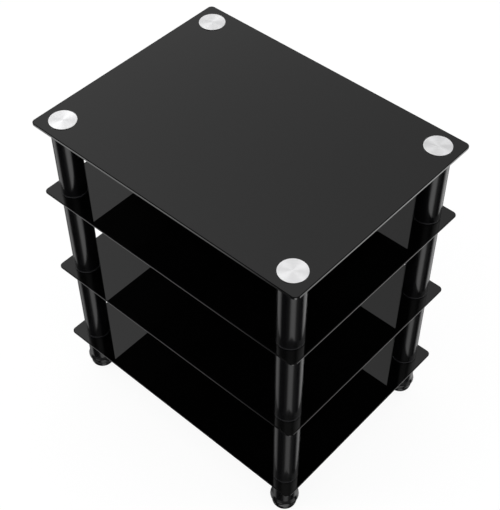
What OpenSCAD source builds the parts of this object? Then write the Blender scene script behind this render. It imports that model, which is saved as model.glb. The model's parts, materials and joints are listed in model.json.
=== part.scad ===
// Four-tier equipment rack: black glass shelves on tubular posts with levelling feet
// Millimetres, +Z up, origin on the floor under the middle of the rack

/* [Rack] */
// Width of the glass shelves, left to right
width = 600; // [480:10:900]
// Depth of the glass shelves, front to back
depth = 455; // [380:5:600]
// Distance of each post's axis from the edges of the glass
post_inset = 40; // [38:1:60]
// Clear height of the bay under the top glass
upper_bay_h = 159; // [90:1:300]
// Clear height of the middle bay
middle_bay_h = 201; // [90:1:300]
// Clear height of the lowest bay
lower_bay_h = 201; // [90:1:300]
// Height of the bottom shelf's underside above the floor
leg_h = 101; // [90:1:180]

/* [Glass] */
// Thickness of the top glass
top_glass_t = 6; // [4:0.5:12]
// Thickness of the other three shelves
shelf_glass_t = 4; // [4:0.5:10]
// Radius of the glass corners
glass_corner_r = 10; // [3:1:30]
// Width of the ground edge between the faces and the sides of the glass
glass_arris = 0.5; // [0.2:0.1:1]
// Diameter of the holes in the glass
glass_hole_d = 14; // [13:0.5:20]

/* [Posts] */
// Outer diameter of the post tubes
post_d = 50; // [42:1:60]
// Wall of the post tubes
post_wall = 1.5; // [1:0.1:3]
// Thickness of the plug flange that shows at each tube end
plug_flange_t = 3; // [1.5:0.5:6]
// Depth of the plug inside its tube
plug_depth = 16; // [10:1:30]
// Wall of the plug's skirt
plug_skirt_wall = 2.5; // [1.5:0.1:4]
// Diameter of the plug's threaded boss
plug_boss_d = 18; // [14:1:24]
// Bevel on the rim of the plug flange
plug_rim_bevel = 0.4; // [0.1:0.1:0.8]
// Thickness of the gaskets between the glass and the posts
gasket_t = 0.8; // [0.5:0.1:2]
// Distance of the gasket's rim inside the post's surface
gasket_inset = 1; // [0.5:0.5:5]

/* [Studs and caps] */
// Diameter of the studs that join the posts through the glass
stud_d = 8; // [6:1:10]
// Length of stud held in each plug
stud_grip = 12; // [8:1:15]
// Bevel on the ends of the studs
stud_bevel = 0.8; // [0.2:0.1:1.5]
// Diameter of the cap discs on the top glass
cap_d = 50; // [40:1:60]
// Thickness of the cap discs
cap_t = 1; // [0.8:0.1:3]
// Bevel on the rim of the cap discs
cap_rim_bevel = 0.3; // [0.1:0.1:0.5]
// Thickness of the clear washer under each cap disc
cap_washer_t = 0.5; // [0.3:0.1:1]

/* [Feet] */
// How far the rounded collar stands out from the leg
collar_swell = 3; // [1:0.5:8]
// Diameter of the round section of the collar's bulge
collar_bulge_d = 19; // [14:0.5:24]
// Height of the collar's bulge
collar_h = 18; // [14:0.5:18.5]
// Height of the plain neck above the collar
neck_h = 5; // [3:0.5:10]
// Step from the post's surface in to the neck
neck_step = 0.8; // [0.4:0.1:1.2]
// Length of the socket inside the leg tube
socket_depth = 14; // [8:1:24]
// Diameter of the cup under the collar
cup_d = 49.4; // [42:0.2:56]
// Height of the cup, without its pad
cup_h = 16; // [14:0.5:24]
// Rounding of the cup's lower edge
cup_round = 6; // [2:0.5:8]
// Rounding of the cup's upper edge
cup_top_round = 1.5; // [0.5:0.1:3]
// Diameter of the rubber pad
pad_d = 36; // [30:1:40]
// Thickness of the rubber pad under the cup
pad_t = 1.5; // [1:0.1:4]
// Diameter of the foot screw's head
screw_head_d = 16; // [13:0.5:20]
// Thickness of the foot screw's head
screw_head_t = 4; // [3:0.5:6]
// Outer diameter of the threaded insert in the socket
insert_d = 16; // [13:0.5:20]
// Length of the threaded insert
insert_l = 22; // [16:1:26]
// How far down each foot can be screwed
foot_travel = 7.5; // [4:0.5:12]
// Length of screw still held in its insert when the foot is fully out
screw_grip = 14; // [10:0.5:16]

/* [Hidden] */
// Radial gap of parts that are fitted together
fit = 0.05;
// Gap round a part that turns or passes freely
clearance = 0.15;
// Height of the pad's peg inside the cup
peg_h = 4;
// Gap between the foot screw's head and the pad's peg
peg_gap = 0.3;
// Distance that cutting shapes run past the surface
overrun = 1;
$fn = 96;

post_r = post_d / 2;
bore_r = post_r - post_wall;
stud_r = stud_d / 2;
hole_r = glass_hole_d / 2;
post_x = width / 2 - post_inset;
post_y = depth / 2 - post_inset;

// Undersides and tops of the four glasses
bottom_z = leg_h;
bottom_top_z = bottom_z + shelf_glass_t;
middle_z = bottom_top_z + lower_bay_h;
middle_top_z = middle_z + shelf_glass_t;
upper_z = middle_top_z + middle_bay_h;
upper_top_z = upper_z + shelf_glass_t;
top_z = upper_top_z + upper_bay_h;
top_top_z = top_z + top_glass_t;

// Levels in the foot, from the floor up
cup_z = pad_t;
collar_z = cup_z + cup_h;
collar_mid_z = collar_z + collar_h / 2;
neck_z = collar_z + collar_h;
leg_z = neck_z + neck_h;
socket_top_z = leg_z + socket_depth;
insert_z = socket_top_z - insert_l;
head_z = cup_z + peg_h + peg_gap;
head_top_z = head_z + screw_head_t;
screw_top_z = insert_z + screw_grip + foot_travel;

neck_r = post_r - neck_step;
bulge_r = collar_bulge_d / 2;
bulge_centre_r = post_r + collar_swell - bulge_r;
head_r = screw_head_d / 2;

// The four corners, each with its name and its side of the rack
corners = [
    ["front_left", -1, -1],
    ["front_right", 1, -1],
    ["rear_left", -1, 1],
    ["rear_right", 1, 1],
];

// The three bays that have posts, each with the levels of its lower and upper glass faces
tiers = [
    ["upper", upper_top_z, top_z],
    ["middle", middle_top_z, upper_z],
    ["lower", bottom_top_z, middle_z],
];

// The four glasses, each with its underside and its thickness
glasses = [
    ["top_glass", top_z, top_glass_t],
    ["upper_shelf", upper_z, shelf_glass_t],
    ["middle_shelf", middle_z, shelf_glass_t],
    ["bottom_shelf", bottom_z, shelf_glass_t],
];
shelves = [for (g = glasses) if (g[0] != "top_glass") g];

function node_of(glass) = glass[0] == "top_glass" ? "top_glass" : str(glass[0], "_glass");

// Puts a shape on one corner's post axis
module at(corner) {
    translate([corner[1] * post_x, corner[2] * post_y, 0]) children();
}

// Puts a copy of a shape on every post axis
module at_corners() {
    for (c = corners) at(c) children();
}

// Turns a shape upside down about a level
module upside_down(level) {
    translate([0, 0, level]) mirror([0, 0, 1]) children();
}

// A round bar with bevelled ends
module bevelled_bar(r, z_low, z_high, bevel) {
    rotate_extrude()
        polygon([
            [0, z_low], [r - bevel, z_low], [r, z_low + bevel],
            [r, z_high - bevel], [r - bevel, z_high], [0, z_high]
        ]);
}

// A plain round hole to cut out of a shape
module bore(r, z_low, z_high) {
    translate([0, 0, z_low - overrun]) cylinder(r = r, h = z_high - z_low + 2 * overrun);
}

// Section across a glass plate, with its ground edges
module glass_section(half, t) {
    polygon([
        [-half, glass_arris], [-half, t - glass_arris],
        [-half + glass_arris, t], [half - glass_arris, t],
        [half, t - glass_arris], [half, glass_arris],
        [half - glass_arris, 0], [-half + glass_arris, 0]
    ]);
}

// A glass plate with rounded corners, ground edges and four holes
module glass_plate(t) {
    corner_x = width / 2 - glass_corner_r;
    corner_y = depth / 2 - glass_corner_r;
    difference() {
        union() {
            rotate([90, 0, 90]) linear_extrude(2 * corner_x, center = true) glass_section(depth / 2, t);
            rotate([90, 0, 0]) linear_extrude(2 * corner_y, center = true) glass_section(width / 2, t);
            for (c = corners)
                translate([c[1] * corner_x, c[2] * corner_y, 0])
                    bevelled_bar(glass_corner_r, 0, t, glass_arris);
        }
        at_corners() bore(hole_r, 0, t);
    }
}

module glass(g) {
    color("#101215") translate([0, 0, g[1]]) glass_plate(g[2]);
}

// A plain tube between two levels
module tube(z_low, z_high) {
    translate([0, 0, z_low])
        difference() {
            cylinder(r = post_r, h = z_high - z_low);
            bore(bore_r, 0, z_high - z_low);
        }
}

// A post stands between two glasses, inside the flanges of its two plugs
module post(tier, corner) {
    end = gasket_t + plug_flange_t;
    color("#1a1a1c") at(corner) tube(tier[1] + end, tier[2] - end);
}

// A leg runs from its foot socket to the plug under the bottom shelf
module leg(corner) {
    color("#1a1a1c") at(corner) tube(leg_z, bottom_z - gasket_t - plug_flange_t);
}

// A moulded plug for the lower end of a tube: flange, skirt and threaded boss
module end_plug(glass_level) {
    flange_z = glass_level + gasket_t;
    skirt_r = bore_r - fit;
    tip_z = flange_z + plug_flange_t + plug_depth;
    difference() {
        union() {
            bevelled_bar(post_r, flange_z, flange_z + plug_flange_t, plug_rim_bevel);
            translate([0, 0, flange_z]) cylinder(r = skirt_r, h = tip_z - flange_z);
        }
        translate([0, 0, flange_z + plug_flange_t])
            difference() {
                cylinder(r = skirt_r - plug_skirt_wall, h = plug_depth + overrun);
                cylinder(d = plug_boss_d, h = plug_depth + overrun);
            }
        bore(stud_r + fit, flange_z, tip_z);
    }
}

// The plugs at both ends of one tier's posts
module tier_end_plugs(tier) {
    color("#222222") at_corners() {
        end_plug(tier[1]);
        upside_down(tier[2]) end_plug(0);
    }
}

// The plugs at the tops of the legs
module leg_top_plugs() {
    color("#222222") at_corners() upside_down(bottom_z) end_plug(0);
}

// A gasket under a glass, with a sleeve that keeps the stud off the hole's wall
module gasket(rim_r, pad_h, glass_t) {
    sleeve_h = glass_t / 2 - clearance;
    translate([0, 0, -pad_h])
        difference() {
            union() {
                cylinder(r = rim_r, h = pad_h);
                cylinder(r = hole_r - clearance, h = pad_h + sleeve_h);
            }
            bore(stud_r + clearance, 0, pad_h + sleeve_h);
        }
}

// The gaskets above and below one glass, with a thin washer under the caps on the top one
module glass_gaskets(g) {
    on_top = g[0] == "top_glass";
    rim_r = post_r - gasket_inset;
    over_r = on_top ? cap_d / 2 - gasket_inset : rim_r;
    over_t = on_top ? cap_washer_t : gasket_t;
    color("#303030") at_corners() {
        translate([0, 0, g[1]]) gasket(rim_r, gasket_t, g[2]);
        upside_down(g[1] + g[2]) gasket(over_r, over_t, g[2]);
    }
}

// The studs that join two tiers of posts through a shelf
module joint_studs(shelf) {
    reach = gasket_t + plug_flange_t + stud_grip;
    color("#b8b8b8") at_corners()
        bevelled_bar(stud_r, shelf[1] - reach, shelf[1] + shelf[2] + reach, stud_bevel);
}

// A brushed disc whose shank clamps the top glass to its post
module cap_disc(corner) {
    disc_z = top_top_z + cap_washer_t;
    shank_z = top_z - gasket_t - plug_flange_t - stud_grip;
    color("#dcdcdc") at(corner)
        rotate_extrude()
            polygon([
                [0, shank_z], [stud_r - stud_bevel, shank_z], [stud_r, shank_z + stud_bevel],
                [stud_r, disc_z], [cap_d / 2, disc_z],
                [cap_d / 2, disc_z + cap_t - cap_rim_bevel],
                [cap_d / 2 - cap_rim_bevel, disc_z + cap_t], [0, disc_z + cap_t]
            ]);
}

// The rounded collar at the foot of a leg, with a neck and a plug up into the tube
module foot_socket(corner) {
    color("#17181a") at(corner)
        difference() {
            union() {
                intersection() {
                    translate([0, 0, collar_mid_z])
                        rotate_extrude() translate([bulge_centre_r, 0]) circle(r = bulge_r);
                    translate([0, 0, collar_z]) cylinder(r = post_r + collar_swell + overrun, h = collar_h);
                }
                translate([0, 0, collar_z]) cylinder(r = bulge_centre_r, h = collar_h);
                translate([0, 0, collar_mid_z]) cylinder(r = neck_r, h = leg_z - collar_mid_z);
                translate([0, 0, neck_z]) cylinder(r = bore_r - fit, h = socket_top_z - neck_z);
            }
            bore(stud_r + clearance, collar_z, socket_top_z);
            translate([0, 0, insert_z]) cylinder(d = insert_d + 2 * fit, h = insert_l + overrun);
        }
}

// The threaded inserts that the foot screws turn in
module foot_inserts() {
    color("#c0a060") at_corners()
        difference() {
            translate([0, 0, insert_z]) cylinder(d = insert_d, h = insert_l);
            bore(stud_r + fit, insert_z, socket_top_z);
        }
}

// The cup that is turned by hand to level the rack
module foot_cup(corner) {
    r = cup_d / 2;
    color("#141517") at(corner)
        difference() {
            union() {
                translate([0, 0, cup_z]) cylinder(r = r - cup_round, h = cup_h);
                translate([0, 0, cup_z + cup_round])
                    cylinder(r = r, h = cup_h - cup_round - cup_top_round);
                translate([0, 0, cup_z + cup_round])
                    rotate_extrude() translate([r - cup_round, 0]) circle(r = cup_round);
                translate([0, 0, collar_z - cup_top_round])
                    rotate_extrude() translate([r - cup_top_round, 0]) circle(r = cup_top_round);
                translate([0, 0, cup_z + cup_round]) cylinder(r = r - cup_top_round, h = cup_h - cup_round);
            }
            bore(stud_r + fit, cup_z, collar_z);
            translate([0, 0, cup_z - overrun])
                cylinder(r = head_r + fit, h = head_top_z - cup_z + overrun);
        }
}

// The screw that carries the foot, with its head held in the cup
module foot_screw(corner) {
    color("#b8b8b8") at(corner) {
        translate([0, 0, head_z]) cylinder(r = head_r, h = screw_head_t);
        bevelled_bar(stud_r, head_z, screw_top_z, stud_bevel);
    }
}

// The rubber pad, with a peg on which the cup swivels
module foot_pad(corner) {
    color("#0c0c0c") at(corner) {
        cylinder(d = pad_d, h = pad_t);
        cylinder(r = head_r - clearance, h = cup_z + peg_h);
    }
}

for (g = glasses)
    glass(g);
for (t = tiers, c = corners)
    post(t, c);
for (c = corners)
    leg(c);
for (c = corners)
    cap_disc(c);
for (t = tiers)
    tier_end_plugs(t);
leg_top_plugs();
for (s = shelves)
    joint_studs(s);
for (g = glasses)
    glass_gaskets(g);
for (c = corners)
    foot_socket(c);
foot_inserts();
for (c = corners)
    foot_cup(c);
for (c = corners)
    foot_screw(c);
for (c = corners)
    foot_pad(c);
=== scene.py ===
import json
import math

import bmesh
import bpy
from mathutils import Matrix, Vector

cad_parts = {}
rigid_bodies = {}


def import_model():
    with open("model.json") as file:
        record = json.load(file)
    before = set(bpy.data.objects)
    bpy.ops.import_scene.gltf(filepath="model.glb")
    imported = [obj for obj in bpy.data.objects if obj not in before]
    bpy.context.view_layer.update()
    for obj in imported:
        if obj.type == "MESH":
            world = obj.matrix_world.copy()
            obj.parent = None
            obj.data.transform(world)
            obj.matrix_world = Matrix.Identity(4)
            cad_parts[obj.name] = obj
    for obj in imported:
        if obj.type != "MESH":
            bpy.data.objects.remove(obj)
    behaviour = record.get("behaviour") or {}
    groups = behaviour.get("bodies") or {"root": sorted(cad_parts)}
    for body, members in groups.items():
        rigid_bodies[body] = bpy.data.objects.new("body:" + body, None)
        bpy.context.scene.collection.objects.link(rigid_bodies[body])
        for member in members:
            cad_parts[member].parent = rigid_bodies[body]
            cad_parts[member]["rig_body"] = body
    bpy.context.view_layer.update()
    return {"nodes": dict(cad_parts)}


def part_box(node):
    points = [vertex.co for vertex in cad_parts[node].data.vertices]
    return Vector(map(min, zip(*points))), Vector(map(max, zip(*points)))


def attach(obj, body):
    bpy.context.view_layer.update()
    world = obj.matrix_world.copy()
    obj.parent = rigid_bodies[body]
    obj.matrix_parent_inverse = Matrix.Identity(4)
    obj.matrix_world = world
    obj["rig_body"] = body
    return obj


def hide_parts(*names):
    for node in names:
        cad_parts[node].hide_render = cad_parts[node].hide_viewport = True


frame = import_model()
print("rack: frame loaded with", len(frame["nodes"]), "nodes")

mm = 0.001
corners = ["front_left", "front_right", "rear_left", "rear_right"]
tiers = ["upper", "middle", "lower"]


# Small tools

def linear(hexColour):
    # an sRGB hex colour as the linear values that a shader takes
    channels = [int(hexColour[i:i + 2], 16) / 255 for i in (1, 3, 5)]
    return [c / 12.92 if c <= 0.04045 else ((c + 0.055) / 1.055) ** 2.4 for c in channels] + [1]


def addNode(tree, kind, inputs=None, **settings):
    # inputs are fixed values, or the outputs of other nodes to link
    node = tree.nodes.new(kind)
    for name, value in settings.items():
        setattr(node, name, value)
    for name, value in (inputs or {}).items():
        if isinstance(value, bpy.types.NodeSocket):
            tree.links.new(value, node.inputs[name])
        else:
            node.inputs[name].default_value = value
    return node


def newMaterial(name, colour, shine):
    material = bpy.data.materials.new(name)
    material.use_nodes = True
    tree = material.node_tree
    surface = tree.nodes["Principled BSDF"]
    surface.inputs["Base Color"].default_value = linear(colour)
    for socket, value in shine.items():
        surface.inputs[socket].default_value = value
    place = addNode(tree, "ShaderNodeTexCoord").outputs["Object"]
    return material, tree, surface, place


def unevenShine(tree, surface, place, size, ends, detail=2):
    # roughness wanders between its two ends, over patches of about this size
    noise = addNode(tree, "ShaderNodeTexNoise", {"Vector": place, "Scale": 1 / size, "Detail": detail})
    spread = {"Value": noise.outputs["Fac"], "To Min": ends[0], "To Max": ends[1]}
    roughness = addNode(tree, "ShaderNodeMapRange", spread)
    tree.links.new(roughness.outputs["Result"], surface.inputs["Roughness"])


def relief(tree, surface, place, size, height, detail=2):
    # lumps of about this size stand up by this height
    noise = addNode(tree, "ShaderNodeTexNoise", {"Vector": place, "Scale": 1 / size, "Detail": detail})
    lumps = {"Height": noise.outputs["Fac"], "Strength": 1, "Distance": height}
    bump = addNode(tree, "ShaderNodeBump", lumps)
    tree.links.new(bump.outputs["Normal"], surface.inputs["Normal"])


def axisOf(node):
    low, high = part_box(node)
    return (low.x + high.x) / 2, (low.y + high.y) / 2


def radiusOf(node):
    low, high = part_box(node)
    return (high.x - low.x) / 2


# Glass shelves: black float glass, tempered, with flat ground and polished edges

glass = {
    "cornerRadius": 10 * mm,
    "arris": 1.2 * mm,  # narrow bevel between face and edge
    "holeRadius": 7 * mm,
    "cornerSteps": 16,
    "holeSteps": 48,
    "colour": "#020202",
    "shine": {"Roughness": 0.012, "IOR": 1.52},
    "haze": (0.006, 0.02),  # roughness of the clearest and of the dullest patches
    "hazeSize": 60 * mm,
    "waveLength": 240 * mm,
    "waveHeight": 0.02 * mm,
    "waveStretch": (1, 0.15, 1),  # the waves lie across the way the sheet ran
    "edgeColour": "#050505",
    "edgeShine": {"Roughness": 0.05, "IOR": 1.6, "Specular IOR Level": 1.0},
    "edgeHaze": (0.04, 0.09),
    "edgeHazeSize": 9 * mm,
    "grindPitch": 0.4 * mm,  # coarser than the real grit, so that it shows
    "grindDepth": 0.002 * mm,
    "grindStretch": (0.02, 0.02, 1),  # the lines run along the edge
    "arrisColour": "#060606",
    "arrisShine": {"Roughness": 0.5, "IOR": 1.52, "Specular IOR Level": 0.08},
    "arrisHaze": (0.42, 0.6),
    "beltMark": 1.5 * mm,  # coarser than the real belt, so that it shows
}


def blackGlass():
    # black float glass, tempered: mirror-flat and deep black, with the faint wave that the rollers leave
    material, tree, surface, place = newMaterial("blackFloatGlass", glass["colour"], glass["shine"])
    stretch = {"Vector": place, "Scale": glass["waveStretch"]}
    rolled = addNode(tree, "ShaderNodeMapping", stretch).outputs["Vector"]
    relief(tree, surface, rolled, glass["waveLength"], glass["waveHeight"], detail=0)
    unevenShine(tree, surface, place, glass["hazeSize"], glass["haze"], detail=4)
    return material


def polishedEdge():
    # edge of black glass, ground flat and wheel-polished: bright, a little less sharp than the face, with
    # fine grinding lines along it
    look = newMaterial("polishedGlassEdge", glass["edgeColour"], glass["edgeShine"])
    material, tree, surface, place = look
    stretch = {"Vector": place, "Scale": glass["grindStretch"]}
    drawn = addNode(tree, "ShaderNodeMapping", stretch).outputs["Vector"]
    relief(tree, surface, drawn, glass["grindPitch"], glass["grindDepth"])
    unevenShine(tree, surface, place, glass["edgeHazeSize"], glass["edgeHaze"])
    return material


def groundArris():
    # narrow bevel of the glass, ground on a fine belt and left satin: a dull dark line by the bright edge
    look = newMaterial("groundGlassArris", glass["arrisColour"], glass["arrisShine"])
    material, tree, surface, place = look
    unevenShine(tree, surface, place, glass["beltMark"], glass["arrisHaze"])
    return material


def roundedOutline(halfX, halfY, radius, steps):
    # corner points of a rounded rectangle, each as (centre of its arc, direction outward)
    points = []
    for quarter, (sx, sy) in enumerate([(1, 1), (-1, 1), (-1, -1), (1, -1)]):
        centre = Vector((sx * (halfX - radius), sy * (halfY - radius)))
        for k in range(steps + 1):
            turn = math.radians(90 * (quarter + k / steps))
            points.append((centre, Vector((math.cos(turn), math.sin(turn)))))
    return points


def bridge(bm, low, high, look):
    # quads between two closed rings of as many points
    for i in range(len(low)):
        j = (i + 1) % len(low)
        face = bm.faces.new((low[i], low[j], high[j], high[i]))
        face.material_index = look


def holeRing(bm, axis, z):
    r, steps = glass["holeRadius"], glass["holeSteps"]
    turns = [2 * math.pi * k / steps for k in range(steps)]
    return [bm.verts.new((axis[0] + r * math.cos(t), axis[1] + r * math.sin(t), z)) for t in turns]


edgeLook, arrisLook = 1, 2  # their places among a pane's materials; the faces keep the first


def glassPane(node):
    # rings of points from the lower face over both bevels to the upper one, then the holes, then both faces
    low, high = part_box(node)
    centre = (low + high) / 2
    radius, arris = glass["cornerRadius"], glass["arris"]
    section = [(arris, low.z), (0, low.z + arris), (0, high.z - arris), (arris, high.z)]
    outline = roundedOutline((high.x - low.x) / 2, (high.y - low.y) / 2, radius, glass["cornerSteps"])
    bm = bmesh.new()
    rings = []
    for inset, z in section:
        ring = []
        for arcCentre, outward in outline:
            p = arcCentre + outward * (radius - inset)
            ring.append(bm.verts.new((centre.x + p.x, centre.y + p.y, z)))
        rings.append(ring)
    for band, look in enumerate([arrisLook, edgeLook, arrisLook]):
        bridge(bm, rings[band], rings[band + 1], look)
    lowEdges, highEdges = [rings[0]], [rings[-1]]
    for corner in corners:
        axis = axisOf("lower_post_" + corner)
        lowEdges.append(holeRing(bm, axis, low.z))
        highEdges.append(holeRing(bm, axis, high.z))
        bridge(bm, lowEdges[-1], highEdges[-1], edgeLook)
    for faceRings in (lowEdges, highEdges):
        edges = [bm.edges.get((ring[i], ring[i - 1])) for ring in faceRings for i in range(len(ring))]
        bmesh.ops.triangle_fill(bm, use_beauty=True, use_dissolve=False, edges=edges)
    return bm


# Turned and drawn pieces: every round piece is an outline of (radius, height) turned about its post's axis

def softened(outline, steps=4):
    # a point given as (radius, height, rounding) becomes an arc, with a point just before and just after it,
    # so that the flat faces beside it stay flat when they are shaded smooth
    guard = 1.15  # how far those two lie from the sharp corner, as a share of the arc's own reach
    points = []
    for i, point in enumerate(outline):
        here = Vector(point[:2])
        if len(point) < 3:
            points.append((here.x, here.y))
            continue
        before = (Vector(outline[i - 1][:2]) - here).normalized()
        after = (Vector(outline[(i + 1) % len(outline)][:2]) - here).normalized()
        half = before.angle(after) / 2
        reach = point[2] / math.tan(half)
        centre = here + (before + after).normalized() * point[2] / math.sin(half)
        start = here + before * reach - centre
        swing = start.angle_signed(here + after * reach - centre)
        arcPoints = [centre + Matrix.Rotation(-swing * k / steps, 2) @ start for k in range(steps + 1)]
        arcPoints = [here + before * reach * guard] + arcPoints + [here + after * reach * guard]
        points += [(p.x, p.y) for p in arcPoints]
    return points


screwThread = {
    "pitch": 1.25 * mm,
    "depth": 0.65 * mm,
    "stepsPerTurn": 6,
}


def threadOutline(radius, zLow, zHigh):
    # enough levels along a shank for its thread to show
    step = screwThread["pitch"] / screwThread["stepsPerTurn"]
    count = round((zHigh - zLow) / step)
    return [(radius, zLow + (zHigh - zLow) * k / count) for k in range(count + 1)]


def threadCut(z, turn, zLow, zHigh):
    # how deep the thread is at a level and angle, running out at both ends
    phase = (z / screwThread["pitch"] - turn / (2 * math.pi)) % 1
    runOut = min(1, (z - zLow) / screwThread["pitch"], (zHigh - z) / screwThread["pitch"])
    return screwThread["depth"] * (1 - math.cos(2 * math.pi * phase)) / 2 * max(0, runOut)


def turned(bm, outline, axis, steps=96, thread=None):
    # thread is (lowest level, highest level) of a threaded stretch
    rings = []
    for r, z in outline:
        if r == 0:
            rings.append([bm.verts.new((axis[0], axis[1], z))])
            continue
        ring = []
        for k in range(steps):
            turn = 2 * math.pi * k / steps
            reach = r - (threadCut(z, turn, *thread) if thread and thread[0] < z < thread[1] else 0)
            x, y = axis[0] + reach * math.cos(turn), axis[1] + reach * math.sin(turn)
            ring.append(bm.verts.new((x, y, z)))
        rings.append(ring)
    for low, high in zip(rings, rings[1:] + rings[:1]):
        if len(low) == 1 and len(high) == 1:
            continue
        for i in range(steps):
            j = (i + 1) % steps
            loop = [low[i % len(low)], low[j % len(low)], high[j % len(high)], high[i % len(high)]]
            bm.faces.new(list(dict.fromkeys(loop)))
    return bm


def addPiece(node, word, bm, slotName, *materials, sharpAngle=30):
    # the finished piece stands for its CAD node and rides on that node's body
    bmesh.ops.recalc_face_normals(bm, faces=bm.faces)
    mesh = bpy.data.meshes.new(node + "_" + word)
    bm.to_mesh(mesh)
    bm.free()
    mesh.polygons.foreach_set("use_smooth", [True] * len(mesh.polygons))
    mesh.set_sharp_from_angle(angle=math.radians(sharpAngle))
    for material in materials:
        mesh.materials.append(material)
    piece = bpy.data.objects.new(node + "_" + word, mesh)
    bpy.context.scene.collection.objects.link(piece)
    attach(piece, frame["nodes"][node]["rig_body"])
    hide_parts(node)


glassLooks = [blackGlass(), polishedEdge(), groundArris()]
for node in ["top_glass", "upper_shelf_glass", "middle_shelf_glass", "bottom_shelf_glass"]:
    addPiece(node, "pane", glassPane(node), "black_glass", *glassLooks)
print("rack: four glass panes")


# Posts and legs: welded steel tube under gloss black powder coat

tube = {
    "wall": 1.5 * mm,
    "endRounding": 0.3 * mm,
    "steps": 160,
    "colour": "#060607",
    "shine": {"Roughness": 0.18, "IOR": 1.5},
    "haze": (0.16, 0.2),
    "hazeSize": 30 * mm,
    "peelGrain": 2.5 * mm,
    "peelHeight": 0.003 * mm,
}


def powderCoat():
    # gloss black powder coat, baked on: a hard shine with a slight orange peel, never as flat as glass
    material, tree, surface, place = newMaterial("glossBlackPowderCoat", tube["colour"], tube["shine"])
    relief(tree, surface, place, tube["peelGrain"], tube["peelHeight"])
    unevenShine(tree, surface, place, tube["hazeSize"], tube["haze"], detail=3)
    return material


def tubePiece(node, material):
    low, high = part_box(node)
    outer = radiusOf(node)
    inner = outer - tube["wall"]
    soft = tube["endRounding"]
    outline = [(inner, low.z, soft), (outer, low.z, soft), (outer, high.z, soft), (inner, high.z, soft)]
    bm = turned(bmesh.new(), softened(outline), axisOf(node), tube["steps"])
    addPiece(node, "tube", bm, "gloss_black_tube", material)


coat = powderCoat()
for corner in corners:
    for tier in tiers:
        tubePiece(tier + "_post_" + corner, coat)
    tubePiece("leg_" + corner, coat)
print("rack: sixteen tubes")


# End plugs: moulded nylon, a flange that shows at each tube end and a skirt inside the tube

plug = {
    "flange": 3 * mm,
    "depth": 16 * mm,
    "skirtWall": 2.5 * mm,
    "bossRadius": 9 * mm,
    "boreRadius": 4.05 * mm,
    "rounding": 0.3 * mm,  # of the flange's rim and the skirt's tip
    "gap": 0.05 * mm,  # between skirt and tube
    # charcoal, painted paler than the gloss coat: the faint line at each flange is a painted highlight
    "colour": "#262628",
    "shine": {"Roughness": 0.2, "IOR": 1.53},
    "haze": (0.16, 0.26),
    "hazeSize": 12 * mm,
    "pitGrain": 0.6 * mm,  # coarser than the real pitting, so that it shows
    "pitDepth": 0.004 * mm,
}


def mouldedNylon():
    # nylon from a lightly polished mould: a soft shine over very fine pitting; its charcoal colour is
    # painted a shade paler than the gloss coat, a painted highlight, so the flange draws a faint line round
    # each post
    material, tree, surface, place = newMaterial("nylonPaintedHighlight", plug["colour"], plug["shine"])
    relief(tree, surface, place, plug["pitGrain"], plug["pitDepth"])
    unevenShine(tree, surface, place, plug["hazeSize"], plug["haze"])
    return material


def plugOutline(flangeZ, way):
    # way is 1 for a plug that stands up into its tube, and -1 for one that hangs down into it
    tubeR = radiusOf("lower_post_front_left")
    skirt = tubeR - tube["wall"] - plug["gap"]
    pocket = skirt - plug["skirtWall"]
    bore, boss, soft = plug["boreRadius"], plug["bossRadius"], plug["rounding"]
    shoulder, tip = plug["flange"], plug["flange"] + plug["depth"]
    profile = [
        (bore, 0), (tubeR, 0, soft), (tubeR, shoulder, soft), (skirt, shoulder),
        (skirt, tip, soft), (pocket, tip), (pocket, shoulder), (boss, shoulder), (boss, tip), (bore, tip),
    ]
    return [(r, flangeZ + way * z) for r, z in softened(profile)]


def plugGroup(tubeName, bothEnds):
    # plugs at the upper ends of one tier's tubes, and at their lower ends too
    bm = bmesh.new()
    for corner in corners:
        low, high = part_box(tubeName + corner)
        axis = axisOf(tubeName + corner)
        if bothEnds:
            turned(bm, plugOutline(low.z - plug["flange"], 1), axis)
        turned(bm, plugOutline(high.z + plug["flange"], -1), axis)
    return bm


nylon = mouldedNylon()
for tier in tiers:
    addPiece(tier + "_tier_end_plugs", "moulded", plugGroup(tier + "_post_", True), "plug_plastic", nylon)
addPiece("leg_top_plugs", "moulded", plugGroup("leg_", False), "plug_plastic", nylon)
print("rack: end plugs")


# Studs: zinc-plated steel, threaded from end to end

stud = {
    "radius": 4 * mm,
    "bevel": 0.8 * mm,
    "steps": 32,
    "colour": "#b4b8bd",
    "shine": {"Metallic": 1, "Roughness": 0.34},
    "haze": (0.26, 0.44),
    "spangle": 1.5 * mm,
}


def zincPlate():
    # bright zinc plate on rolled thread: grey metal with a cool cast and small spangles
    material, tree, surface, place = newMaterial("zincPlatedSteel", stud["colour"], stud["shine"])
    unevenShine(tree, surface, place, stud["spangle"], stud["haze"])
    return material


zinc = zincPlate()
for shelf in ["upper", "middle", "bottom"]:
    node = shelf + "_shelf_joint_studs"
    low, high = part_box(node)
    bm = bmesh.new()
    r = stud["radius"]
    ends = (low.z + stud["bevel"], high.z - stud["bevel"])
    outline = [(0, low.z), (r - stud["bevel"], low.z)] + threadOutline(r, *ends)
    outline += [(r - stud["bevel"], high.z), (0, high.z)]
    for corner in corners:
        turned(bm, outline, axisOf("lower_post_" + corner), stud["steps"], ends)
    addPiece(node, "threaded", bm, "zinc_stud", zinc, sharpAngle=50)
print("rack: joint studs")


# Cap discs: aluminium, faced on a lathe, on a threaded shank

cap = {
    "thickness": 1 * mm,
    "rimRounding": 0.3 * mm,
    "plainShank": 6 * mm,  # between disc and thread
    "steps": 128,
    "colour": "#f6f6f7",
    "shine": {"Metallic": 1, "Roughness": 0.36, "Anisotropic": 0.8, "Anisotropic Rotation": 0.25},
    "haze": (0.32, 0.4),
    "ringPitch": 0.5 * mm,  # coarser than the real tool marks, so that it shows
    "ringDepth": 0.002 * mm,
}


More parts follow.
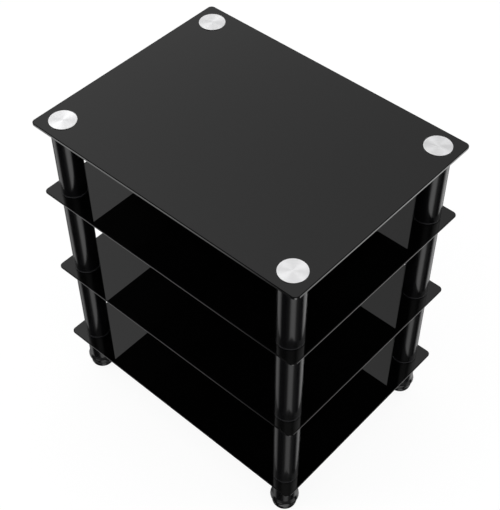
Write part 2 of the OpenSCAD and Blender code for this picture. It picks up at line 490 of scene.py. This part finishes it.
def latheFacedAluminium(axis):
    # aluminium faced on a lathe: fine rings round the centre, which draw the light out into rays
    material, tree, surface, place = newMaterial("latheFacedAluminium", cap["colour"], cap["shine"])
    tangent = addNode(tree, "ShaderNodeTangent", direction_type="RADIAL", axis="Z")
    tree.links.new(tangent.outputs["Tangent"], surface.inputs["Tangent"])
    fromCentre = {0: place, 1: (axis[0], axis[1], 0)}
    centred = addNode(tree, "ShaderNodeVectorMath", fromCentre, operation="SUBTRACT")
    levelOnly = {0: centred.outputs[0], 1: (1, 1, 0)}
    flat = addNode(tree, "ShaderNodeVectorMath", levelOnly, operation="MULTIPLY")
    radius = addNode(tree, "ShaderNodeVectorMath", {0: flat.outputs[0]}, operation="LENGTH")
    turning = {"W": radius.outputs["Value"], "Scale": 1 / cap["ringPitch"], "Detail": 2}
    rings = addNode(tree, "ShaderNodeTexNoise", turning, noise_dimensions="1D").outputs["Fac"]
    spread = {"Value": rings, "To Min": cap["haze"][0], "To Max": cap["haze"][1]}
    roughness = addNode(tree, "ShaderNodeMapRange", spread)
    tree.links.new(roughness.outputs["Result"], surface.inputs["Roughness"])
    bump = addNode(tree, "ShaderNodeBump", {"Height": rings, "Strength": 1, "Distance": cap["ringDepth"]})
    tree.links.new(bump.outputs["Normal"], surface.inputs["Normal"])
    return material


for corner in corners:
    node = "cap_disc_" + corner
    low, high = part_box(node)
    axis = axisOf(node)
    r, rim, soft = stud["radius"], radiusOf(node), cap["rimRounding"]
    under = high.z - cap["thickness"]
    ends = (low.z + stud["bevel"], under - cap["plainShank"])
    outline = [(0, low.z), (r - stud["bevel"], low.z)] + threadOutline(r, *ends)
    outline += [(r, under), (rim, under), (rim, high.z, soft), (0, high.z)]
    bm = turned(bmesh.new(), softened(outline), axis, cap["steps"], ends)
    addPiece(node, "turned", bm, "brushed_disc", latheFacedAluminium(axis))
print("rack: cap discs")


# Feet: moulded socket with its collar, a cup turned by hand, a rubber pad and the screw

foot = {
    "collarHeight": 18 * mm,
    "collarLip": 25.5 * mm,  # radius of the lower edge, from which the side leans out to the peak
    "collarPeak": 28.5 * mm,  # before its rounding, which takes it back to the widest the collar gets
    "collarPeakHeight": 11.3 * mm,
    "collarRound": 7 * mm,
    "collarLipRound": 0.8 * mm,
    "neckRadius": 24.2 * mm,
    "neckHeight": 5 * mm,
    "pocketRadius": 8.05 * mm,  # room for the insert in the socket, and for the screw's head in the cup
    "pocketDepth": 22 * mm,
    "passRadius": 4.15 * mm,  # free way for the screw
    "cupRadius": 24.2 * mm,
    "cupTopRound": 5 * mm,
    "cupSoleRound": 7 * mm,
    "arcSteps": 20,
    "cupArcSteps": 10,
    "steps": 160,
    "colour": "#070708",
    "shine": {"Roughness": 0.1, "IOR": 1.52},
    "haze": (0.08, 0.14),
    "hazeSize": 18 * mm,
    "flowGrain": 5 * mm,
    "flowHeight": 0.003 * mm,
}

pad = {
    "radius": 18 * mm,
    "thickness": 1.5 * mm,
    "pegRadius": 7.85 * mm,
    "rounding": 0.3 * mm,
    "grooves": 3,  # grip grooves in the sole
    "groovePitch": 3 * mm,
    "grooveWidth": 1 * mm,
    "grooveDepth": 0.4 * mm,
    "colour": "#0d0d0d",
}

rubber = {  # of the pads, and of the gaskets too
    "shine": {"Roughness": 0.75, "IOR": 1.52},
    "haze": (0.65, 0.85),
    "bloomSize": 6 * mm,
    "grain": 0.8 * mm,  # coarser than the real grain, so that it shows
    "grainDepth": 0.02 * mm,
}

footScrew = {
    "headRadius": 8 * mm,
    "headHeight": 4 * mm,
    "headRounding": 0.5 * mm,
    "shoulderRounding": 0.3 * mm,
    "plainShank": 1 * mm,  # between head and thread
}


def mouldedAbs():
    # black ABS from a mirror-polished mould: nearly as bright as the coat, with a trace of flow marks
    material, tree, surface, place = newMaterial("mouldedGlossAbs", foot["colour"], foot["shine"])
    relief(tree, surface, place, foot["flowGrain"], foot["flowHeight"])
    unevenShine(tree, surface, place, foot["hazeSize"], foot["haze"], detail=3)
    return material


def mouldedRubber(name, colour):
    # black rubber, pressed in a mould: matt, with a fine dull grain and a little bloom
    material, tree, surface, place = newMaterial(name, colour, rubber["shine"])
    relief(tree, surface, place, rubber["grain"], rubber["grainDepth"])
    unevenShine(tree, surface, place, rubber["bloomSize"], rubber["haze"])
    return material


def socketOutline(node):
    low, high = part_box(node)
    neck, neckZ = foot["neckRadius"], low.z + foot["collarHeight"]
    neckTop = neckZ + foot["neckHeight"]
    stem = radiusOf("leg_front_left") - tube["wall"] - plug["gap"]
    pocket, pocketZ = foot["pocketRadius"], high.z - foot["pocketDepth"]
    return softened([
        (foot["passRadius"], low.z), (foot["collarLip"], low.z, foot["collarLipRound"]),
        (foot["collarPeak"], low.z + foot["collarPeakHeight"], foot["collarRound"]), (neck, neckZ),
        (neck, neckTop), (stem, neckTop), (stem, high.z), (pocket, high.z),
        (pocket, pocketZ), (foot["passRadius"], pocketZ),
    ], foot["arcSteps"])


def cupOutline(node, screwNode):
    low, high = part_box(node)
    r = foot["cupRadius"]
    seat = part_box(screwNode)[0].z + footScrew["headHeight"]
    pocket, bore = foot["pocketRadius"], plug["boreRadius"]
    return softened([
        (pocket, low.z), (r, low.z, foot["cupSoleRound"]), (r, high.z, foot["cupTopRound"]),
        (bore, high.z), (bore, seat), (pocket, seat),
    ], foot["cupArcSteps"])


def padOutline(node):
    low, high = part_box(node)
    r, peg, soft = pad["radius"], pad["pegRadius"], pad["rounding"]
    step, roof = low.z + pad["thickness"], low.z + pad["grooveDepth"]
    outline = [(0, low.z)]
    for k in range(pad["grooves"]):
        near = peg + (k + 0.5) * pad["groovePitch"]
        far = near + pad["grooveWidth"]
        outline += [(near, low.z), (near, roof), (far, roof), (far, low.z)]
    outline += [(r, low.z, soft), (r, step, soft), (peg, step), (peg, high.z), (0, high.z)]
    return softened(outline)


def screwOutline(node):
    low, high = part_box(node)
    r, head = stud["radius"], footScrew["headRadius"]
    under = low.z + footScrew["headHeight"]
    ends = (under + footScrew["plainShank"], high.z - stud["bevel"])
    outline = [(0, low.z), (head, low.z, footScrew["headRounding"])]
    outline += [(head, under, footScrew["shoulderRounding"]), (r, under)]
    outline += threadOutline(r, *ends) + [(r - stud["bevel"], high.z), (0, high.z)]
    return softened(outline), ends


gloss = mouldedAbs()
padRubber = mouldedRubber("padRubber", pad["colour"])
for corner in corners:
    node = "foot_socket_" + corner
    bm = turned(bmesh.new(), socketOutline(node), axisOf(node), foot["steps"])
    addPiece(node, "moulded", bm, "foot_plastic", gloss)
    node = "foot_cup_" + corner
    bm = turned(bmesh.new(), cupOutline(node, "foot_screw_" + corner), axisOf(node), foot["steps"])
    addPiece(node, "moulded", bm, "foot_plastic", gloss)
    node = "foot_pad_" + corner
    bm = turned(bmesh.new(), padOutline(node), axisOf(node))
    addPiece(node, "grooved", bm, "pad_rubber", padRubber)
    node = "foot_screw_" + corner
    outline, ends = screwOutline(node)
    bm = turned(bmesh.new(), outline, axisOf(node), stud["steps"], ends)
    addPiece(node, "threaded", bm, "zinc_stud", zinc, sharpAngle=50)
print("rack: feet")


# Gaskets and inserts keep their CAD shapes and take a finish

gasket = {
    "colour": "#101010",
}

insert = {
    "colour": "#c9a45c",
    "shine": {"Metallic": 1, "Roughness": 0.28},
    "haze": (0.2, 0.38),
    "toolPitch": 0.3 * mm,
    "toolStretch": (0, 0, 1),  # rings one above the other
}


def turnedBrass():
    # free-cutting brass, turned: warm yellow with faint tool marks
    material, tree, surface, place = newMaterial("turnedBrass", insert["colour"], insert["shine"])
    stretch = {"Vector": place, "Scale": insert["toolStretch"]}
    along = addNode(tree, "ShaderNodeMapping", stretch).outputs["Vector"]
    unevenShine(tree, surface, along, insert["toolPitch"], insert["haze"])
    return material


def dress(node, material):
    cadPiece = frame["nodes"][node]
    cadPiece.data.materials.clear()
    cadPiece.data.materials.append(material)


gasketRubber = mouldedRubber("gasketRubber", gasket["colour"])
for node in ["top_glass_gaskets", "upper_shelf_gaskets", "middle_shelf_gaskets", "bottom_shelf_gaskets"]:
    dress(node, gasketRubber)
dress("foot_inserts", turnedBrass())
print("rack: gaskets and inserts")


# Studio: white floor and surround, soft light, and tall pale cards that draw the streaks on gloss

studio = {
    "floorSize": 30,  # metres
    "floorColour": "#ffffff",
    "floorGlow": 0.9,  # share of plain white that the camera sees in the floor; the rest is lit and shaded
    "roomLight": 1.0,  # from every side, on all that isn't mirrored
    "lampsAim": (0, 0, 0.35),
    "lamps": [
        {"place": (-0.9, -1.7, 2.6), "size": 1.8, "watts": 22},
        {"place": (1.6, 1.0, 2.4), "size": 1.4, "watts": 10},
    ],
    # the cards stand round the rack below the horizon, full inside their inner angle and dark outside their
    # outer one; foot and top are heights on a sphere of radius 1, each as (dark, full)
    "cards": [
        {"azimuth": -151, "inner": 7, "outer": 26, "strength": 1.03, "foot": (-0.97, -0.6), "top": (1.1, 1)},
        {"azimuth": 66, "inner": 10, "outer": 30, "strength": 1.6, "foot": (-0.97, -0.6), "top": (1.1, 1)},
        {"azimuth": 160, "inner": 6, "outer": 26, "strength": 0.35, "foot": (-0.88, -0.74), "top": (1.1, 1)},
        {"azimuth": -38, "inner": 0, "outer": 27, "strength": 1.8, "foot": (-0.93, -0.635),
         "top": (-0.42, -0.6)},
        {"azimuth": -34, "inner": 0, "outer": 56, "strength": 0.2, "foot": (-0.97, -0.6),
         "top": (-0.42, -0.6)},
        {"azimuth": -80, "inner": 2, "outer": 22, "strength": 1.1, "foot": (-0.5, -0.36), "top": (1.1, 1)},
        {"azimuth": 8, "inner": 2, "outer": 22, "strength": 1.1, "foot": (-0.5, -0.36), "top": (1.1, 1)},
        {"azimuth": 126, "inner": 2, "outer": 22, "strength": 1.1, "foot": (-0.5, -0.36), "top": (1.1, 1)},
    ],
    "overheads": [  # soft lights in the ceiling, which draw the rays on the lathe-faced discs
        {"azimuth": 45, "climb": 49.8, "inner": 0, "outer": 33.6, "strength": 1.8},
        {"azimuth": 185.5, "climb": 54.5, "inner": 0, "outer": 25.8, "strength": 1.15},
        {"azimuth": 142.5, "climb": 83.6, "inner": 0, "outer": 49.3, "strength": 0.34},
        {"azimuth": -45, "climb": 62, "inner": 6, "outer": 24, "strength": 1.1},
    ],
    "shade": 0.015,  # of the room below the horizon, between the cards
    "walls": 0.24,  # of the room above the horizon, on every side
    "horizon": (-0.12, 0.12),  # heights over which the one turns into the other
    "floorLight": 0.42,  # of the white floor just under the rack, seen in the undersides of its feet
    "floorLightEdge": (-0.975, -1),
    # the ceiling that the flat glass mirrors, its brightness in the middle, how that changes with direction,
    # and the most it gets
    "ceiling": {"azimuth": 132.5, "climb": 41, "inner": 22, "outer": 77, "strength": 1},
    "ceilingMiddle": 0.335,
    "ceilingSlope": (0.236, -1.175, -1.592),
    "ceilingMost": 1.4,
}


def floor():
    half = studio["floorSize"] / 2
    square = [(-half, -half, 0), (half, -half, 0), (half, half, 0), (-half, half, 0)]
    mesh = bpy.data.meshes.new("floor")
    mesh.from_pydata(square, [], [(0, 1, 2, 3)])
    material = bpy.data.materials.new("paleFloor")
    material.use_nodes = True
    tree = material.node_tree
    tree.nodes.clear()
    colour = linear(studio["floorColour"])
    lit = addNode(tree, "ShaderNodeBsdfDiffuse", {"Color": colour})
    plain = addNode(tree, "ShaderNodeEmission", {"Color": colour, "Strength": 1})
    path = addNode(tree, "ShaderNodeLightPath")
    seen = {0: path.outputs["Is Camera Ray"], 1: studio["floorGlow"]}
    share = addNode(tree, "ShaderNodeMath", seen, operation="MULTIPLY")
    blend = {0: share.outputs[0], 1: lit.outputs[0], 2: plain.outputs[0]}
    mixed = addNode(tree, "ShaderNodeMixShader", blend)
    addNode(tree, "ShaderNodeOutputMaterial", {"Surface": mixed.outputs[0]})
    mesh.materials.append(material)
    ground = bpy.data.objects.new("floor", mesh)
    bpy.context.scene.collection.objects.link(ground)
    ground.visible_glossy = False  # gloss sees the cards that stand round the rack, down past the floor


def lamps():
    for number, lamp in enumerate(studio["lamps"]):
        light = bpy.data.lights.new("softLamp" + str(number), "AREA")
        light.shape = "DISK"
        light.size = lamp["size"]
        light.energy = lamp["watts"]
        holder = bpy.data.objects.new(light.name, light)
        bpy.context.scene.collection.objects.link(holder)
        holder.location = lamp["place"]
        towards = Vector(studio["lampsAim"]) - holder.location
        holder.rotation_euler = towards.to_track_quat("-Z", "Y").to_euler()
        holder.visible_glossy = False  # no lamp shape in the glass


def pointing(azimuth, climb):
    # direction from the rack, by degrees round from +X and degrees above the horizon
    level = math.cos(math.radians(climb))
    turn = math.radians(azimuth)
    return Vector((level * math.cos(turn), level * math.sin(turn), math.sin(math.radians(climb))))


def softLight(tree, way, light):
    # brightness of one light, by how far a way of looking is from the light's own direction
    ways = {0: way, 1: pointing(light["azimuth"], light.get("climb", 0))}
    facing = addNode(tree, "ShaderNodeVectorMath", ways, operation="DOT_PRODUCT").outputs["Value"]
    edge = {
        "Value": facing,
        "From Min": math.cos(math.radians(light["outer"])),
        "From Max": math.cos(math.radians(light["inner"])),
        "To Max": light["strength"],
    }
    return addNode(tree, "ShaderNodeMapRange", edge, interpolation_type="SMOOTHSTEP").outputs["Result"]


def belowHorizon(tree, way, height):
    # shade, the floor's own light straight down, and the cards, which face every way level with the rack
    parts = addNode(tree, "ShaderNodeSeparateXYZ", {0: way})
    level = addNode(tree, "ShaderNodeCombineXYZ", {0: parts.outputs["X"], 1: parts.outputs["Y"]})
    bearing = addNode(tree, "ShaderNodeVectorMath", {0: level.outputs[0]}, operation="NORMALIZE")
    start, end = studio["floorLightEdge"]
    down = {"Value": height, "From Min": start, "From Max": end, "To Max": studio["floorLight"]}
    fade = addNode(tree, "ShaderNodeMapRange", down)
    both = {0: fade.outputs[0], 1: studio["shade"]}
    total = addNode(tree, "ShaderNodeMath", both, operation="ADD").outputs[0]
    for card in studio["cards"]:
        bright = softLight(tree, bearing.outputs[0], card)
        for start, end in (card["foot"], card["top"]):
            fade = addNode(tree, "ShaderNodeMapRange", {"Value": height, "From Min": start, "From Max": end})
            both = {0: bright, 1: fade.outputs[0]}
            bright = addNode(tree, "ShaderNodeMath", both, operation="MULTIPLY").outputs[0]
        total = addNode(tree, "ShaderNodeMath", {0: total, 1: bright}, operation="ADD").outputs[0]
    return total


def aboveHorizon(tree, way):
    # walls, the ceiling with its slow change of brightness, and the overheads
    slope, ceiling = Vector(studio["ceilingSlope"]), studio["ceiling"]
    base = studio["ceilingMiddle"] - slope.dot(pointing(ceiling["azimuth"], ceiling["climb"]))
    along = addNode(tree, "ShaderNodeVectorMath", {0: way, 1: slope}, operation="DOT_PRODUCT")
    rise = addNode(tree, "ShaderNodeMath", {0: along.outputs["Value"], 1: base}, operation="ADD")
    held = addNode(tree, "ShaderNodeClamp", {"Value": rise.outputs[0], "Max": studio["ceilingMost"]})
    both = {0: held.outputs[0], 1: softLight(tree, way, ceiling)}
    mirrored = addNode(tree, "ShaderNodeMath", both, operation="MULTIPLY").outputs[0]
    total = addNode(tree, "ShaderNodeMath", {0: mirrored, 1: studio["walls"]}, operation="ADD").outputs[0]
    for light in studio["overheads"]:
        bright = softLight(tree, way, light)
        total = addNode(tree, "ShaderNodeMath", {0: total, 1: bright}, operation="ADD").outputs[0]
    return total


def surround():
    world = bpy.data.worlds.new("studio")
    bpy.context.scene.world = world
    world.use_nodes = True
    world.cycles.sampling_method = "NONE"
    tree = world.node_tree
    tree.nodes.clear()
    way = addNode(tree, "ShaderNodeTexCoord").outputs["Generated"]
    height = addNode(tree, "ShaderNodeSeparateXYZ", {0: way}).outputs["Z"]
    edge = {"Value": height, "From Min": studio["horizon"][0], "From Max": studio["horizon"][1]}
    over = addNode(tree, "ShaderNodeMapRange", edge, interpolation_type="SMOOTHSTEP").outputs[0]
    room = {0: over, 2: belowHorizon(tree, way, height), 3: aboveHorizon(tree, way)}
    glossSees = addNode(tree, "ShaderNodeMix", room).outputs[0]
    path = addNode(tree, "ShaderNodeLightPath")
    rays = {0: path.outputs["Is Glossy Ray"], 1: path.outputs["Is Transmission Ray"]}
    mirrored = addNode(tree, "ShaderNodeMath", rays, operation="MAXIMUM").outputs[0]
    bounced = addNode(tree, "ShaderNodeMix", {0: mirrored, 2: studio["roomLight"], 3: glossSees}).outputs[0]
    straight = {0: path.outputs["Is Camera Ray"], 2: bounced, 3: 1.0}  # the camera sees plain white
    strength = addNode(tree, "ShaderNodeMix", straight).outputs[0]
    sky = addNode(tree, "ShaderNodeBackground", {"Color": linear("#ffffff"), "Strength": strength})
    addNode(tree, "ShaderNodeOutputWorld", {"Surface": sky.outputs[0]})


floor()
lamps()
surround()
bpy.context.scene.view_settings.view_transform = "Standard"
print("rack: studio")


# Camera: the photograph's high three-quarter view from the front right

shot = {
    "place": (0.9551, -1.0512, 1.9337),
    "yaw": 42.185,  # degrees round from looking straight back
    "pitch": 48.476,  # degrees down
    "roll": -0.331,
    "sensor": 36,  # millimetres, as the lens
    "lens": 78.13,
    "shift": 0.029,
}


def camera():
    data = bpy.data.cameras.new("shot")
    data.sensor_width = shot["sensor"]
    data.lens = shot["lens"]
    data.shift_y = shot["shift"]
    holder = bpy.data.objects.new("shot", data)
    bpy.context.scene.collection.objects.link(holder)
    turnRound = Matrix.Rotation(math.radians(shot["yaw"]), 4, "Z")
    tipDown = Matrix.Rotation(math.radians(90 - shot["pitch"]), 4, "X")
    tilt = Matrix.Rotation(math.radians(shot["roll"]), 4, "Z")
    holder.matrix_world = Matrix.Translation(shot["place"]) @ turnRound @ tipDown @ tilt
    bpy.context.scene.camera = holder


camera()
